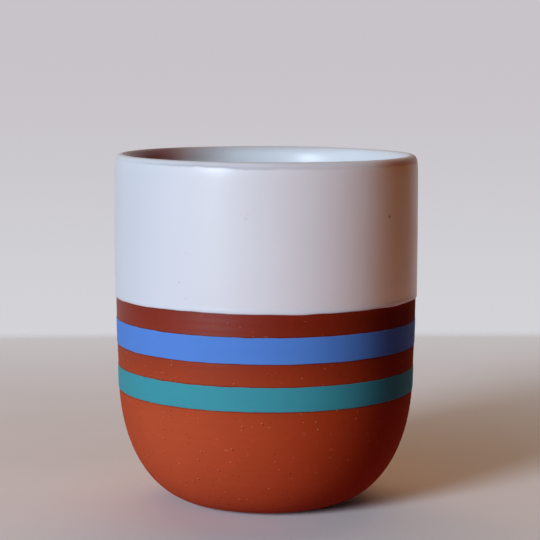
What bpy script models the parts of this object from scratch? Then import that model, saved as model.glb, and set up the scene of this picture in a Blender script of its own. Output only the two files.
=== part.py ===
"""Handleless mug: a turned red clay body, white glaze inside and over the top, and two painted bands.

The mug stands on its foot at the origin, +Z up, in metres. Every piece is a profile of (radius, height)
points turned about the Z axis. The coats follow the clay's own surface, a tenth of a millimetre off it.
"""

import math

import bpy
import numpy as np

# Overall size, measured over the glaze
MUG_HEIGHT = 0.0950
MUG_DIAMETER = 0.0825

# Coats fired onto the clay
COAT_GAP = 0.0001
GLAZE_THICKNESS = 0.0002
BAND_THICKNESS = 0.00012

# Outside of the clay: a rounded bottom that runs into a slightly swelling wall
FOOT_RADIUS = 0.0178
BELLY_HEIGHT = 0.0374
BELLY_RADIUS = 0.0404
WIDEST_HEIGHT = 0.0670
UPPER_NARROWING = 0.00017
BOTTOM_ROUND_ACROSS = 2.04
BOTTOM_ROUND_UP = 2.32

# Shallow hollow trimmed into the underside, which leaves a flat foot ring
HOLLOW_RADIUS = 0.0130
HOLLOW_DEPTH = 0.0008
HOLLOW_SLOPE = 0.0010

# Lip: squarely rounded on its outer side, thinned by a long soft bevel on its inner side
LIP_CREST_RADIUS = 0.0392
LIP_OUTER_DROP = 0.0050
LIP_OUTER_ROUND = 3.5
LIP_INNER_WIDTH = 0.0022
LIP_INNER_DROP = 0.0062
LIP_INNER_ROUND = 2.6

# Inside of the clay: an almost even wall below the lip's bevel, and a bowl-shaped floor
INNER_BELLY_RADIUS = 0.0366
FLOOR_THICKNESS = 0.0055
FLOOR_RADIUS = 0.0160

# Decoration, from the lower edge of the outer glaze downwards
GLAZE_LINE_HEIGHT = 0.0566
BARE_CLAY_WIDTH = 0.00604
BLUE_WIDTH = 0.00685
TEAL_WIDTH = 0.00636

# Resolution: segments around the axis, and steps along each stretch of profile
SEGMENTS = 60
BOWL_STEPS = 9
WALL_STEPS = 5
LIP_OUTER_STEPS = 6
LIP_INNER_STEPS = 5
BAND_STEPS = 2
MERGE_DISTANCE = 0.00001
SHARP_ANGLE = math.radians(35)

# Colours as linear RGB, and how rough each finish is
CLAY_COLOUR = (0.352, 0.058, 0.025)
GLAZE_COLOUR = (0.720, 0.725, 0.740)
BLUE_COLOUR = (0.085, 0.225, 0.680)
TEAL_COLOUR = (0.045, 0.290, 0.345)
CLAY_ROUGHNESS = 0.85
GLAZE_ROUGHNESS = 0.30
SLIP_ROUGHNESS = 0.60

# Heights and radii that follow from the dimensions above
COAT_BUILD = COAT_GAP + GLAZE_THICKNESS
WIDEST_RADIUS = MUG_DIAMETER / 2 - COAT_BUILD
CREST_HEIGHT = MUG_HEIGHT - COAT_BUILD
LIP_OUTER_BASE = CREST_HEIGHT - LIP_OUTER_DROP
LIP_INNER_BASE = CREST_HEIGHT - LIP_INNER_DROP
INNER_RIM_RADIUS = LIP_CREST_RADIUS - LIP_INNER_WIDTH
BLUE_TOP = GLAZE_LINE_HEIGHT - BARE_CLAY_WIDTH
BLUE_BOTTOM = BLUE_TOP - BLUE_WIDTH
TEAL_TOP = BLUE_BOTTOM - BARE_CLAY_WIDTH
TEAL_BOTTOM = TEAL_TOP - TEAL_WIDTH


def outer_radius(height):
    """Radius of the bare clay's outside at a height: a rounded bottom up to the belly, then the wall.

    The wall narrows with the square of the distance from its widest height, less above it than below.
    """
    below = np.clip(1 - height / BELLY_HEIGHT, 0, 1)
    turn = np.arccos(below ** (BOTTOM_ROUND_UP / 2))
    bottom = FOOT_RADIUS + (BELLY_RADIUS - FOOT_RADIUS) * np.sin(turn) ** (2 / BOTTOM_ROUND_ACROSS)
    rise = (height - WIDEST_HEIGHT) / (WIDEST_HEIGHT - BELLY_HEIGHT)
    narrowing = np.where(rise < 0, WIDEST_RADIUS - BELLY_RADIUS, UPPER_NARROWING)
    wall = WIDEST_RADIUS - narrowing * rise ** 2
    return np.where(height < BELLY_HEIGHT, bottom, wall)


def rounded_heights(top, start, end, steps):
    """Heights that follow the bottom's curve evenly from a start height up to an end height."""
    def turn_at(height):
        return math.acos((1 - height / top) ** (BOTTOM_ROUND_UP / 2))

    turn = np.linspace(turn_at(start), turn_at(end), steps + 1)
    return top * (1 - np.cos(turn) ** (2 / BOTTOM_ROUND_UP))


def lip_quarter(base_radius, base_height, roundness, steps):
    """Quarter of a squared ellipse from a wall's top edge to the crest of the lip."""
    turn = np.linspace(0, math.pi / 2, steps + 1)
    across = np.clip(np.cos(turn), 0, 1) ** (2 / roundness)
    up = np.sin(turn) ** (2 / roundness)
    radius = LIP_CREST_RADIUS + (base_radius - LIP_CREST_RADIUS) * across
    height = base_height + (CREST_HEIGHT - base_height) * up
    return np.column_stack([radius, height])


def outside_stretch(top, bottom, steps):
    """Points down the clay's outside between two heights."""
    height = np.linspace(top, bottom, steps + 1)
    return np.column_stack([outer_radius(height), height])


def glazed_outside():
    """Points down the clay's outside under the dipped glaze: from the lip's crest to the glaze line."""
    lip = lip_quarter(float(outer_radius(LIP_OUTER_BASE)), LIP_OUTER_BASE, LIP_OUTER_ROUND, LIP_OUTER_STEPS)
    wall = outside_stretch(LIP_OUTER_BASE, GLAZE_LINE_HEIGHT, WALL_STEPS)
    return np.vstack([lip[:0:-1], wall])


def inside_surface():
    """Points up the clay's inside, from the middle of the floor to the lip's crest."""
    bowl_depth = BELLY_HEIGHT - FLOOR_THICKNESS
    rise = rounded_heights(bowl_depth, 0, bowl_depth, BOWL_STEPS)
    turn = np.arccos(np.clip(1 - rise / bowl_depth, 0, 1) ** (BOTTOM_ROUND_UP / 2))
    spread = (INNER_BELLY_RADIUS - FLOOR_RADIUS) * np.sin(turn) ** (2 / BOTTOM_ROUND_ACROSS)
    bowl = np.column_stack([FLOOR_RADIUS + spread, FLOOR_THICKNESS + rise])
    share = np.linspace(0, 1, WALL_STEPS + 1)[1:]
    ease = share ** 2 * (3 - 2 * share)
    wall_radius = INNER_BELLY_RADIUS + (INNER_RIM_RADIUS - INNER_BELLY_RADIUS) * ease
    wall = np.column_stack([wall_radius, BELLY_HEIGHT + (LIP_INNER_BASE - BELLY_HEIGHT) * share])
    lip = lip_quarter(INNER_RIM_RADIUS, LIP_INNER_BASE, LIP_INNER_ROUND, LIP_INNER_STEPS)
    return np.vstack([[0, FLOOR_THICKNESS], bowl, wall, lip[1:]])


def body_profile():
    """Outline of the clay from axis to axis: up the inside, over the lip, down and under the foot."""
    bottom_heights = rounded_heights(BELLY_HEIGHT, 0, TEAL_BOTTOM, BOWL_STEPS)[::-1]
    bottom = np.column_stack([outer_radius(bottom_heights), bottom_heights])
    underside = [
        [HOLLOW_RADIUS, 0],
        [HOLLOW_RADIUS - HOLLOW_SLOPE, HOLLOW_DEPTH],
        [0, HOLLOW_DEPTH],
    ]
    return np.vstack([
        inside_surface(),
        glazed_outside()[1:],
        outside_stretch(BLUE_TOP, BLUE_BOTTOM, BAND_STEPS),
        outside_stretch(TEAL_TOP, TEAL_BOTTOM, BAND_STEPS),
        bottom[1:],
        underside,
    ])


def offset_profile(points, distance):
    """Profile moved off the clay by a distance, square to its own run, or straight up at axis and crest."""
    run = np.gradient(points, axis=0)
    run /= np.linalg.norm(run, axis=1, keepdims=True)
    normal = np.column_stack([-run[:, 1], run[:, 0]])
    level = (points[:, 0] == 0) | (points[:, 1] == CREST_HEIGHT)
    normal[level] = [0, 1]
    return points + distance * normal


def coat_outline(stretch, thickness):
    """Outline of a coat over a stretch of clay: its face in the stretch's own order, then its back."""
    face = offset_profile(stretch, COAT_GAP + thickness)
    back = offset_profile(stretch, COAT_GAP)
    return np.vstack([face, back[::-1]])


def fired_material(name, colour, roughness):
    """Plain material of one colour and roughness."""
    material = bpy.data.materials.new(name)
    material.use_nodes = True
    shader = material.node_tree.nodes["Principled BSDF"]
    shader.inputs["Base Color"].default_value = (*colour, 1)
    shader.inputs["Roughness"].default_value = roughness
    shader.inputs["Metallic"].default_value = 0
    return material


def turned_piece(name, profile, closed, material, collection, parent):
    """Piece made by turning a profile of (radius, height) points once round the Z axis."""
    count = len(profile)
    verts = [(radius, 0, height) for radius, height in profile.tolist()]
    edges = [(index, index + 1) for index in range(count - 1)]
    if closed:
        edges.append((count - 1, 0))
    outline = bpy.data.meshes.new(name + "_profile")
    outline.from_pydata(verts, edges, [])
    piece = bpy.data.objects.new(name, outline)
    collection.objects.link(piece)
    screw = piece.modifiers.new("turn", "SCREW")
    screw.axis = "Z"
    screw.steps = SEGMENTS
    screw.render_steps = SEGMENTS
    screw.use_merge_vertices = True
    screw.merge_threshold = MERGE_DISTANCE

    turned = bpy.data.meshes.new_from_object(piece.evaluated_get(bpy.context.evaluated_depsgraph_get()))
    turned.name = name
    piece.modifiers.clear()
    piece.data = turned
    bpy.data.meshes.remove(outline)
    turned.shade_smooth()
    turned.set_sharp_from_angle(angle=SHARP_ANGLE)
    turned.materials.append(material)
    piece.parent = parent
    return piece


def main():
    """Clear the scene and build the mug's five pieces round one axis."""
    for item in list(bpy.data.objects):
        bpy.data.objects.remove(item)
    collection = bpy.data.collections.new("handleless_mug")
    bpy.context.scene.collection.children.link(collection)
    axis = bpy.data.objects.new("mug_axis", None)
    collection.objects.link(axis)

    clay = fired_material("red_clay", CLAY_COLOUR, CLAY_ROUGHNESS)
    glaze = fired_material("white_glaze", GLAZE_COLOUR, GLAZE_ROUGHNESS)
    blue = fired_material("blue_slip", BLUE_COLOUR, SLIP_ROUGHNESS)
    teal = fired_material("teal_slip", TEAL_COLOUR, SLIP_ROUGHNESS)

    turned_piece("clay_body", body_profile(), False, clay, collection, axis)

    # The lining and the dipped coat meet at the lip's crest, half a gap each side of it
    lining = inside_surface()
    lining[-1, 0] -= COAT_GAP / 2
    turned_piece("liner_glaze", coat_outline(lining, GLAZE_THICKNESS), False, glaze, collection, axis)
    dipped = glazed_outside()
    dipped[0, 0] += COAT_GAP / 2

    coats = (
        ("outer_glaze", dipped, GLAZE_THICKNESS, glaze),
        ("blue_band", outside_stretch(BLUE_TOP, BLUE_BOTTOM, BAND_STEPS), BAND_THICKNESS, blue),
        ("teal_band", outside_stretch(TEAL_TOP, TEAL_BOTTOM, BAND_STEPS), BAND_THICKNESS, teal),
    )
    for name, stretch, thickness, material in coats:
        turned_piece(name, coat_outline(stretch, thickness), True, material, collection, axis)


main()
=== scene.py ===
"""Looks of the handleless mug: turned red clay, a white glaze coat and two painted bands, in soft side light.

Every piece is a surface over two parameters, a place along a turned outline and an angle about the Z axis.
It is worked out as whole arrays, in metres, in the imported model's own frame.
"""

import logging
import math
from collections.abc import Callable, Sequence
from dataclasses import dataclass
from enum import Enum
from functools import reduce
from typing import Union

import bpy
import numpy as np
from mathutils import Matrix, Vector


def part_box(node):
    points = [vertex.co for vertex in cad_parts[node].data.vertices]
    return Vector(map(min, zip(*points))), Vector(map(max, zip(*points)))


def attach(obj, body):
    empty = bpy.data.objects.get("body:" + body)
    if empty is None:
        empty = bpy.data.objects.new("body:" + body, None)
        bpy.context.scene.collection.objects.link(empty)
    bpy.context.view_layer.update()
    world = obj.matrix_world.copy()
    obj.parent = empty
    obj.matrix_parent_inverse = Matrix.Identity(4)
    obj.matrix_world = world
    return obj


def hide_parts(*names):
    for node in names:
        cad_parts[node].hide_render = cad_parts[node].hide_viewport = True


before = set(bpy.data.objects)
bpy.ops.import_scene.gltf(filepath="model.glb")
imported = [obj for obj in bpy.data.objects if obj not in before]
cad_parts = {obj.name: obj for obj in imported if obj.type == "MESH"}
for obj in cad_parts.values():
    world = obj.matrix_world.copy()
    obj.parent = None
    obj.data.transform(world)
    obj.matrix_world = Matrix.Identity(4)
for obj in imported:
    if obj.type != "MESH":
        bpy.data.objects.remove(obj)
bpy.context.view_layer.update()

LOG = logging.getLogger("handleless_mug")
BODY = "root"
BAKE_MAP = "OFBake"
MM = 0.001

Array = np.ndarray
Span = tuple[float, float]
Triple = tuple[float, float, float]
Colour = Triple
Feed = Union["Value", bpy.types.NodeSocket, float, Sequence[float]]
Settings = dict[str, object]
Inputs = dict[str, Feed]


class Slot(Enum):
    """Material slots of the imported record."""

    CLAY = "red_clay"
    GLAZE = "white_glaze"
    BLUE = "blue_slip"
    TEAL = "teal_slip"


class Node(Enum):
    """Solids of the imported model."""

    CLAY = "clay_body"
    LINER = "liner_glaze"
    DIPPED = "outer_glaze"
    BLUE = "blue_band"
    TEAL = "teal_band"


class Closing(Enum):
    """How a turned outline closes on itself."""

    ON_AXIS = "its first and last stations lie on the axis"
    IN_A_RING = "its last station runs on into its first"


def smooth_step(value: Array, low: float, high: float) -> Array:
    """Ease from 0 at low to 1 at high: with s the share of the way, 3 s squared less 2 s cubed."""
    share = np.clip((value - low) / (high - low), 0, 1)
    return share * share * (3 - 2 * share)


def rounded_edge(inwards: Array, reach: float) -> Array:
    """Share of a coat's thickness at distances in from its edge: a quarter circle, full from reach on."""
    share = np.clip(inwards / reach, 0, 1)
    return np.sqrt(1 - (1 - share) ** 2)


def even_turn(steps: int) -> Array:
    """Angles of even steps in one turn about the axis, in radians."""
    return np.linspace(0, 2 * math.pi, steps, endpoint=False)


def about_axis(radius: Array, height: Array) -> Array:
    """Places of even steps about the Z axis: radius times cosine and sine of the angle, and height."""
    angle = even_turn(radius.shape[1])
    return np.stack([radius * np.cos(angle), radius * np.sin(angle), height], axis=-1)


def quads_between(index: Array) -> Array:
    """Corners of the quads between neighbours in a grid whose last column runs on into its first."""
    after = np.roll(index, -1, axis=1)
    return np.stack([index[:-1], index[1:], after[1:], after[:-1]], axis=-1)


def put_in_scene(name: str, data: bpy.types.ID) -> bpy.types.Object:
    """Make an object and link it into the scene.

    Args:
        name: name of the object.
        data: its mesh, lamp or camera.

    Returns:
        The object, at the origin.
    """
    made = bpy.data.objects.new(name, data)
    bpy.context.scene.collection.objects.link(made)
    return made


@dataclass(frozen=True)
class Waver:
    """Small unevenness of hand work, as a seeded sum of waves over the unrolled wall.

    Attributes:
        seed: picks the waves.
        size: root mean square height of the sum, in metres.
        slowest: fewest waves in one turn about the axis.
        fastest: most waves in one turn about the axis.
        rise: most waves per metre of height, 0 for a waver that runs straight up.
        fade: how fast a wave's share falls with its waves in one turn.
    """

    seed: int
    size: float
    slowest: int
    fastest: int
    rise: float = 0.0
    fade: float = 0.5

    def at(self, angle: Array, height: Array | float = 0.0) -> Array:
        """Value of the waver at places on the wall.

        Each wave is the sine of its turns times the angle, plus its rise times the height, plus a phase.

        Args:
            angle: angles about the axis, in radians.
            height: heights above the foot, in metres.

        Returns:
            Heights of the waver, in metres, in the shape that angle and height broadcast to.
        """
        draw = np.random.default_rng(self.seed)
        turns = np.arange(self.slowest, self.fastest + 1)
        phase = draw.uniform(0, 2 * math.pi, turns.size)
        rise = 2 * math.pi * draw.uniform(-self.rise, self.rise, turns.size)
        share = draw.normal(size=turns.size) / turns ** self.fade
        share *= self.size / math.sqrt((share ** 2).sum() / 2)
        angle, height = np.broadcast_arrays(angle, height)
        return np.sin(angle[..., None] * turns + height[..., None] * rise + phase) @ share


@dataclass(frozen=True)
class MugForm:
    """Outline of the bare clay and the heights of its decoration, in metres.

    Attributes:
        crest_height: height of the clay at the lip's crest.
        widest_radius: radius of the clay where the wall is widest.
        glaze_line: lower edge of the white glaze.
        blue: lower and upper edge of the blue band.
        teal: lower and upper edge of the teal band.
        coat_build: how far the face of the glaze stands off the clay.
        foot_radius: outer radius of the flat foot.
        belly_height: height at which the rounded bottom runs into the wall.
        belly_radius: radius of the clay at that height.
        belly_blend: height above and below it over which the two are eased into each other.
        widest_height: height at which the wall is widest.
        upper_narrowing: how much narrower the wall is as far above that height as the belly lies below it.
        bottom_round_across: squareness of the rounded bottom across, 2 for an ellipse.
        bottom_round_up: squareness of the rounded bottom upwards.
        hollow_radius: radius of the hollow under the foot.
        hollow_depth: depth of the hollow.
        hollow_slope: width of the hollow's sloping side.
        lip_crest_radius: radius of the lip's crest.
        lip_outer_drop: height over which the lip's outer side rounds over.
        lip_outer_round: squareness of the outer side, 2 for an ellipse.
        lip_inner_width: width of the bevel on the lip's inner side.
        lip_inner_drop: depth of that bevel.
        lip_inner_round: squareness of the bevel.
        inner_belly_radius: radius of the inside at the belly's height.
        floor_thickness: height of the inner floor.
        floor_radius: radius of the flat part of the inner floor.
        segments: steps round the axis.
        out_of_round: waver of the whole wall, which every piece follows.
    """

    crest_height: float
    widest_radius: float
    glaze_line: float
    blue: Span
    teal: Span
    coat_build: float

    foot_radius: float = 0.0178
    belly_height: float = 0.0374
    belly_radius: float = 0.0404
    belly_blend: float = 0.006
    widest_height: float = 0.0670
    upper_narrowing: float = 0.17 * MM
    bottom_round_across: float = 2.04
    bottom_round_up: float = 2.32

    hollow_radius: float = 0.0130
    hollow_depth: float = 0.0008
    hollow_slope: float = 0.0010

    lip_crest_radius: float = 0.0392
    lip_outer_drop: float = 0.0050
    lip_outer_round: float = 3.5
    lip_inner_width: float = 0.0022
    lip_inner_drop: float = 0.0062
    lip_inner_round: float = 2.6

    inner_belly_radius: float = 0.0366
    floor_thickness: float = 0.0055
    floor_radius: float = 0.0160

    segments: int = 288
    out_of_round: Waver = Waver(seed=3, size=0.05 * MM, slowest=2, fastest=6, rise=8.0)

    @classmethod
    def from_frame(cls) -> "MugForm":
        """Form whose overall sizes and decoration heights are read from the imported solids.

        Returns:
            The form.
        """
        _, clay_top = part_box(Node.CLAY.value)
        dipped_base, dipped_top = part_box(Node.DIPPED.value)
        edges = {node: tuple(corner.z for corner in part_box(node.value)) for node in (Node.BLUE, Node.TEAL)}
        return cls(
            crest_height=clay_top.z,
            widest_radius=clay_top.x,
            glaze_line=dipped_base.z,
            blue=edges[Node.BLUE],
            teal=edges[Node.TEAL],
            coat_build=dipped_top.z - clay_top.z,
        )

    @property
    def lip_outer_base(self) -> float:
        """Height at which the outer wall starts to round over into the lip."""
        return self.crest_height - self.lip_outer_drop

    @property
    def angle(self) -> Array:
        """Angles of the segments about the axis, in radians."""
        return even_turn(self.segments)

    def outer_radius(self, height: Array) -> Array:
        """Radius of the clay's outside.

        Below the belly it is a quarter of a squared ellipse from the foot, above it a wall that narrows with
        the square of the distance from its widest height, less above that height than below. The two are
        eased into each other at the belly.

        Args:
            height: heights above the foot.

        Returns:
            The radius at each height.
        """
        below = np.clip(1 - height / self.belly_height, 0, 1)
        turn = np.arccos(below ** (self.bottom_round_up / 2))
        reach = np.sin(turn) ** (2 / self.bottom_round_across)
        bottom = self.foot_radius + (self.belly_radius - self.foot_radius) * reach
        rise = (height - self.widest_height) / (self.widest_height - self.belly_height)
        narrowing = np.where(rise < 0, self.widest_radius - self.belly_radius, self.upper_narrowing)
        wall = self.widest_radius - narrowing * rise ** 2
        blend_low, blend_high = self.belly_height - self.belly_blend, self.belly_height + self.belly_blend
        return bottom + (wall - bottom) * smooth_step(height, blend_low, blend_high)

    def inside(self, steps: int) -> Array:
        """Stations up the clay's inside, from the middle of the floor to the foot of the lip.

        The floor is flat, the bowl a quarter of a squared ellipse and the wall eases out to the rim.

        Args:
            steps: stations on each of the three stretches.

        Returns:
            Radius and height of each station, as rows.
        """
        floor = np.linspace(0, self.floor_radius, steps, endpoint=False)
        turn = np.linspace(0, math.pi / 2, steps + 1)
        depth = self.belly_height - self.floor_thickness
        rise = depth * (1 - np.cos(turn) ** (2 / self.bottom_round_up))
        spread = np.sin(turn) ** (2 / self.bottom_round_across)
        bowl_radius = self.floor_radius + (self.inner_belly_radius - self.floor_radius) * spread
        share = np.linspace(0, 1, steps + 1)[1:-1]
        rim_height = self.crest_height - self.lip_inner_drop
        widening = self.lip_crest_radius - self.lip_inner_width - self.inner_belly_radius
        wall_radius = self.inner_belly_radius + widening * smooth_step(share, 0, 1)
        return np.vstack([
            np.column_stack([floor, np.full(steps, self.floor_thickness)]),
            np.column_stack([bowl_radius, self.floor_thickness + rise]),
            np.column_stack([wall_radius, self.belly_height + (rim_height - self.belly_height) * share]),
        ])

    def lip(self, steps: int) -> Array:
        """Stations over the lip, from the inner rim over the crest to the outer wall.

        Each side is a quarter of a squared ellipse: radius goes with a root of the cosine, height with a
        root of the sine. The outer side starts from the wall's own radius, so that it runs into the wall.

        Args:
            steps: stations on each side of the crest.

        Returns:
            Radius and height of each station, as rows.
        """
        turn = np.linspace(0, math.pi / 2, steps + 1)
        across, up = np.cos(turn), np.sin(turn)
        inner_radius = self.lip_crest_radius - self.lip_inner_width * across ** (2 / self.lip_inner_round)
        inner_base = self.crest_height - self.lip_inner_drop
        inner_height = inner_base + self.lip_inner_drop * up ** (2 / self.lip_inner_round)
        outer_height = self.lip_outer_base + self.lip_outer_drop * up ** (2 / self.lip_outer_round)
        overhang = self.outer_radius(outer_height) - self.lip_crest_radius
        outer_radius = self.lip_crest_radius + overhang * across ** (2 / self.lip_outer_round)
        inner = np.column_stack([inner_radius, inner_height])
        outer = np.column_stack([outer_radius, outer_height])
        return np.vstack([inner, outer[-2::-1]])

    def outside(self, height: Array) -> Array:
        """Stations on the clay's outside at heights: radius and height, along a new last axis."""
        return np.stack([self.outer_radius(height), height], axis=-1)

    def all_round(self, stations: Array) -> Array:
        """The same stations at every segment, as (station, segment, radius and height)."""
        return np.broadcast_to(stations[:, None], (len(stations), self.segments, 2))

    def uneven(self, outline: Array) -> Array:
        """Outline out of round: the wall's waver added to every radius that is not on the axis.

        Args:
            outline: (station, segment, radius and height).

        Returns:
            The uneven outline, in the same shape.
        """
        radius, height = outline[..., 0], outline[..., 1]
        waver = np.where(radius > 0, self.out_of_round.at(self.angle, height), 0)
        return np.stack([radius + waver, height], axis=-1)


def lifted(outline: Array, distance: Array) -> Array:
    """Outline moved off the clay square to its own run.

    The direction is the run along the stations turned a quarter left, which points out of the clay.

    Args:
        outline: (station, segment, radius and height).
        distance: how far each station goes, in metres, as (station, segment).

    Returns:
        The moved outline, in the same shape.
    """
    run = np.gradient(outline, axis=0)
    run /= np.linalg.norm(run, axis=-1, keepdims=True)
    square = np.stack([-run[..., 1], run[..., 0]], axis=-1)
    return outline + distance[..., None] * square


@dataclass(frozen=True)
class TurnedSurface:
    """A closed surface over stations along an outline and segments about the Z axis.

    Attributes:
        name: name of the piece.
        outline: (station, segment, radius and height), in metres.
        closing: how the outline closes.
        hidden: which stations never show, and so get little room in the map.
        strips: how many strips the turn is cut into, one above the other in the map.
        HIDDEN_SHARE: length that a hidden run keeps in the map, as a share of its own.
        STRIP_MARGIN: share of a strip's height that stays free along each of its edges.
    """

    name: str
    outline: Array
    closing: Closing
    hidden: Array
    strips: int = 1

    HIDDEN_SHARE = 0.05
    STRIP_MARGIN = 0.004

    def along(self) -> Array:
        """Place of each station along the map: its length along the outline, hidden runs shrunk.

        Returns:
            Places from 0 to 1, with one more for the way back to the first station of a ring.
        """
        middle = self.outline.mean(axis=1)
        if self.closing is Closing.IN_A_RING:
            middle = np.vstack([middle, middle[:1]])
        step = np.linalg.norm(np.diff(middle, axis=0), axis=1)
        step[self.hidden[: len(step)]] *= self.HIDDEN_SHARE
        return np.append(0, np.cumsum(step)) / step.sum()

    def corner_map(self) -> Array:
        """Map places of each quad's four corners: across by the angle within a strip, up by the station.

        Returns:
            Places from 0 to 1, as (station, segment, corner, across and up).
        """
        along = self.along()
        columns = self.outline.shape[1]
        width = columns // self.strips
        strip, place = np.divmod(np.arange(columns), width)
        across = np.stack([place, place, place + 1, place + 1], axis=-1) / width
        up = np.stack([along[:-1], along[1:], along[1:], along[:-1]], axis=-1)
        up = self.STRIP_MARGIN + (1 - 2 * self.STRIP_MARGIN) * up
        stacked = (strip[:, None] + up[:, None]) / self.strips
        return np.stack(np.broadcast_arrays(across, stacked), axis=-1)

    def parted(self, quads: Array) -> list[Array]:
        """Cut the quads that meet the axis down to triangles.

        Args:
            quads: quads, or what belongs to their corners, as (station, segment, corner) and on.

        Returns:
            Groups of rows: the whole ring, or one pole's triangles, the quads and the other pole's triangles.
        """
        if self.closing is Closing.IN_A_RING:
            return [quads]
        return [quads[:1, :, :3], quads[1:-1], quads[-1:, :, [0, 1, 3]]]

    def mesh(self) -> bpy.types.Mesh:
        """Mesh of quads, with triangles round the poles where the outline meets the axis.

        Returns:
            A smooth mesh with faces outwards and its own map for baking.
        """
        points = about_axis(self.outline[..., 0], self.outline[..., 1])
        stations, columns = points.shape[:2]
        if self.closing is Closing.ON_AXIS:
            index = 1 + (np.arange(stations)[:, None] - 1) * columns + np.arange(columns)
            index[0], index[-1] = 0, 1 + (stations - 2) * columns
            points = np.vstack([points[0, :1], points[1:-1].reshape(-1, 3), points[-1, :1]])
        else:
            index = np.arange(stations * columns).reshape(stations, columns)
            index = np.vstack([index, index[:1]])
        groups = (group.reshape(-1, group.shape[2]) for group in self.parted(quads_between(index)))
        faces = [face for group in groups for face in group.tolist()]

        mesh = bpy.data.meshes.new(self.name)
        mesh.from_pydata(points.reshape(-1, 3).tolist(), [], faces)
        map_places = np.concatenate([group.ravel() for group in self.parted(self.corner_map())])
        mesh.uv_layers.new(name=BAKE_MAP).data.foreach_set("uv", map_places)
        mesh.shade_smooth()
        return mesh

    def piece(self, material: bpy.types.Material, slot: Slot, *nodes: Node) -> bpy.types.Object:
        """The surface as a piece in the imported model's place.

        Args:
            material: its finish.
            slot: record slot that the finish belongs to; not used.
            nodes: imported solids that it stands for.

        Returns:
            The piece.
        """
        piece = put_in_scene(self.name, self.mesh())
        piece.data.materials.append(material)
        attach(piece, BODY)
        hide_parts(*(node.value for node in nodes))
        return piece


def math_method(operation: str, reflected: bool = False) -> Callable[..., "Value"]:
    """Make a method of Value that adds a Math node.

    Args:
        operation: the node's operation.
        reflected: whether the other number comes first.

    Returns:
        The method.
    """

    def method(value: "Value", other: Feed = 0.0) -> "Value":
        """Result of the Math node on the value and another number."""
        first, second = (other, value) if reflected else (value, other)
        inputs = {"Value": first, "Value_001": second}
        return value.tree.value("ShaderNodeMath", {"operation": operation}, inputs)

    return method


class Value:
    """A number that changes over a surface. Python's operators on it add Math nodes."""

    def __init__(self, tree: "ShaderTree", socket: bpy.types.NodeSocket) -> None:
        """Wrap a node's output socket."""
        self.tree = tree
        self.socket = socket

    __add__, __radd__ = math_method("ADD"), math_method("ADD", reflected=True)
    __sub__, __rsub__ = math_method("SUBTRACT"), math_method("SUBTRACT", reflected=True)
    __mul__, __rmul__ = math_method("MULTIPLY"), math_method("MULTIPLY", reflected=True)
    __pow__, __lt__, __abs__ = math_method("POWER"), math_method("LESS_THAN"), math_method("ABSOLUTE")
    at_least = math_method("MAXIMUM")

    def ease(self, low: Feed, high: Feed) -> "Value":
        """Smooth rise from 0 at low to 1 at high."""
        inputs = {"Value": self, "From Min": low, "From Max": high}
        return self.tree.value("ShaderNodeMapRange", {"interpolation_type": "SMOOTHSTEP"}, inputs)


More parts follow.
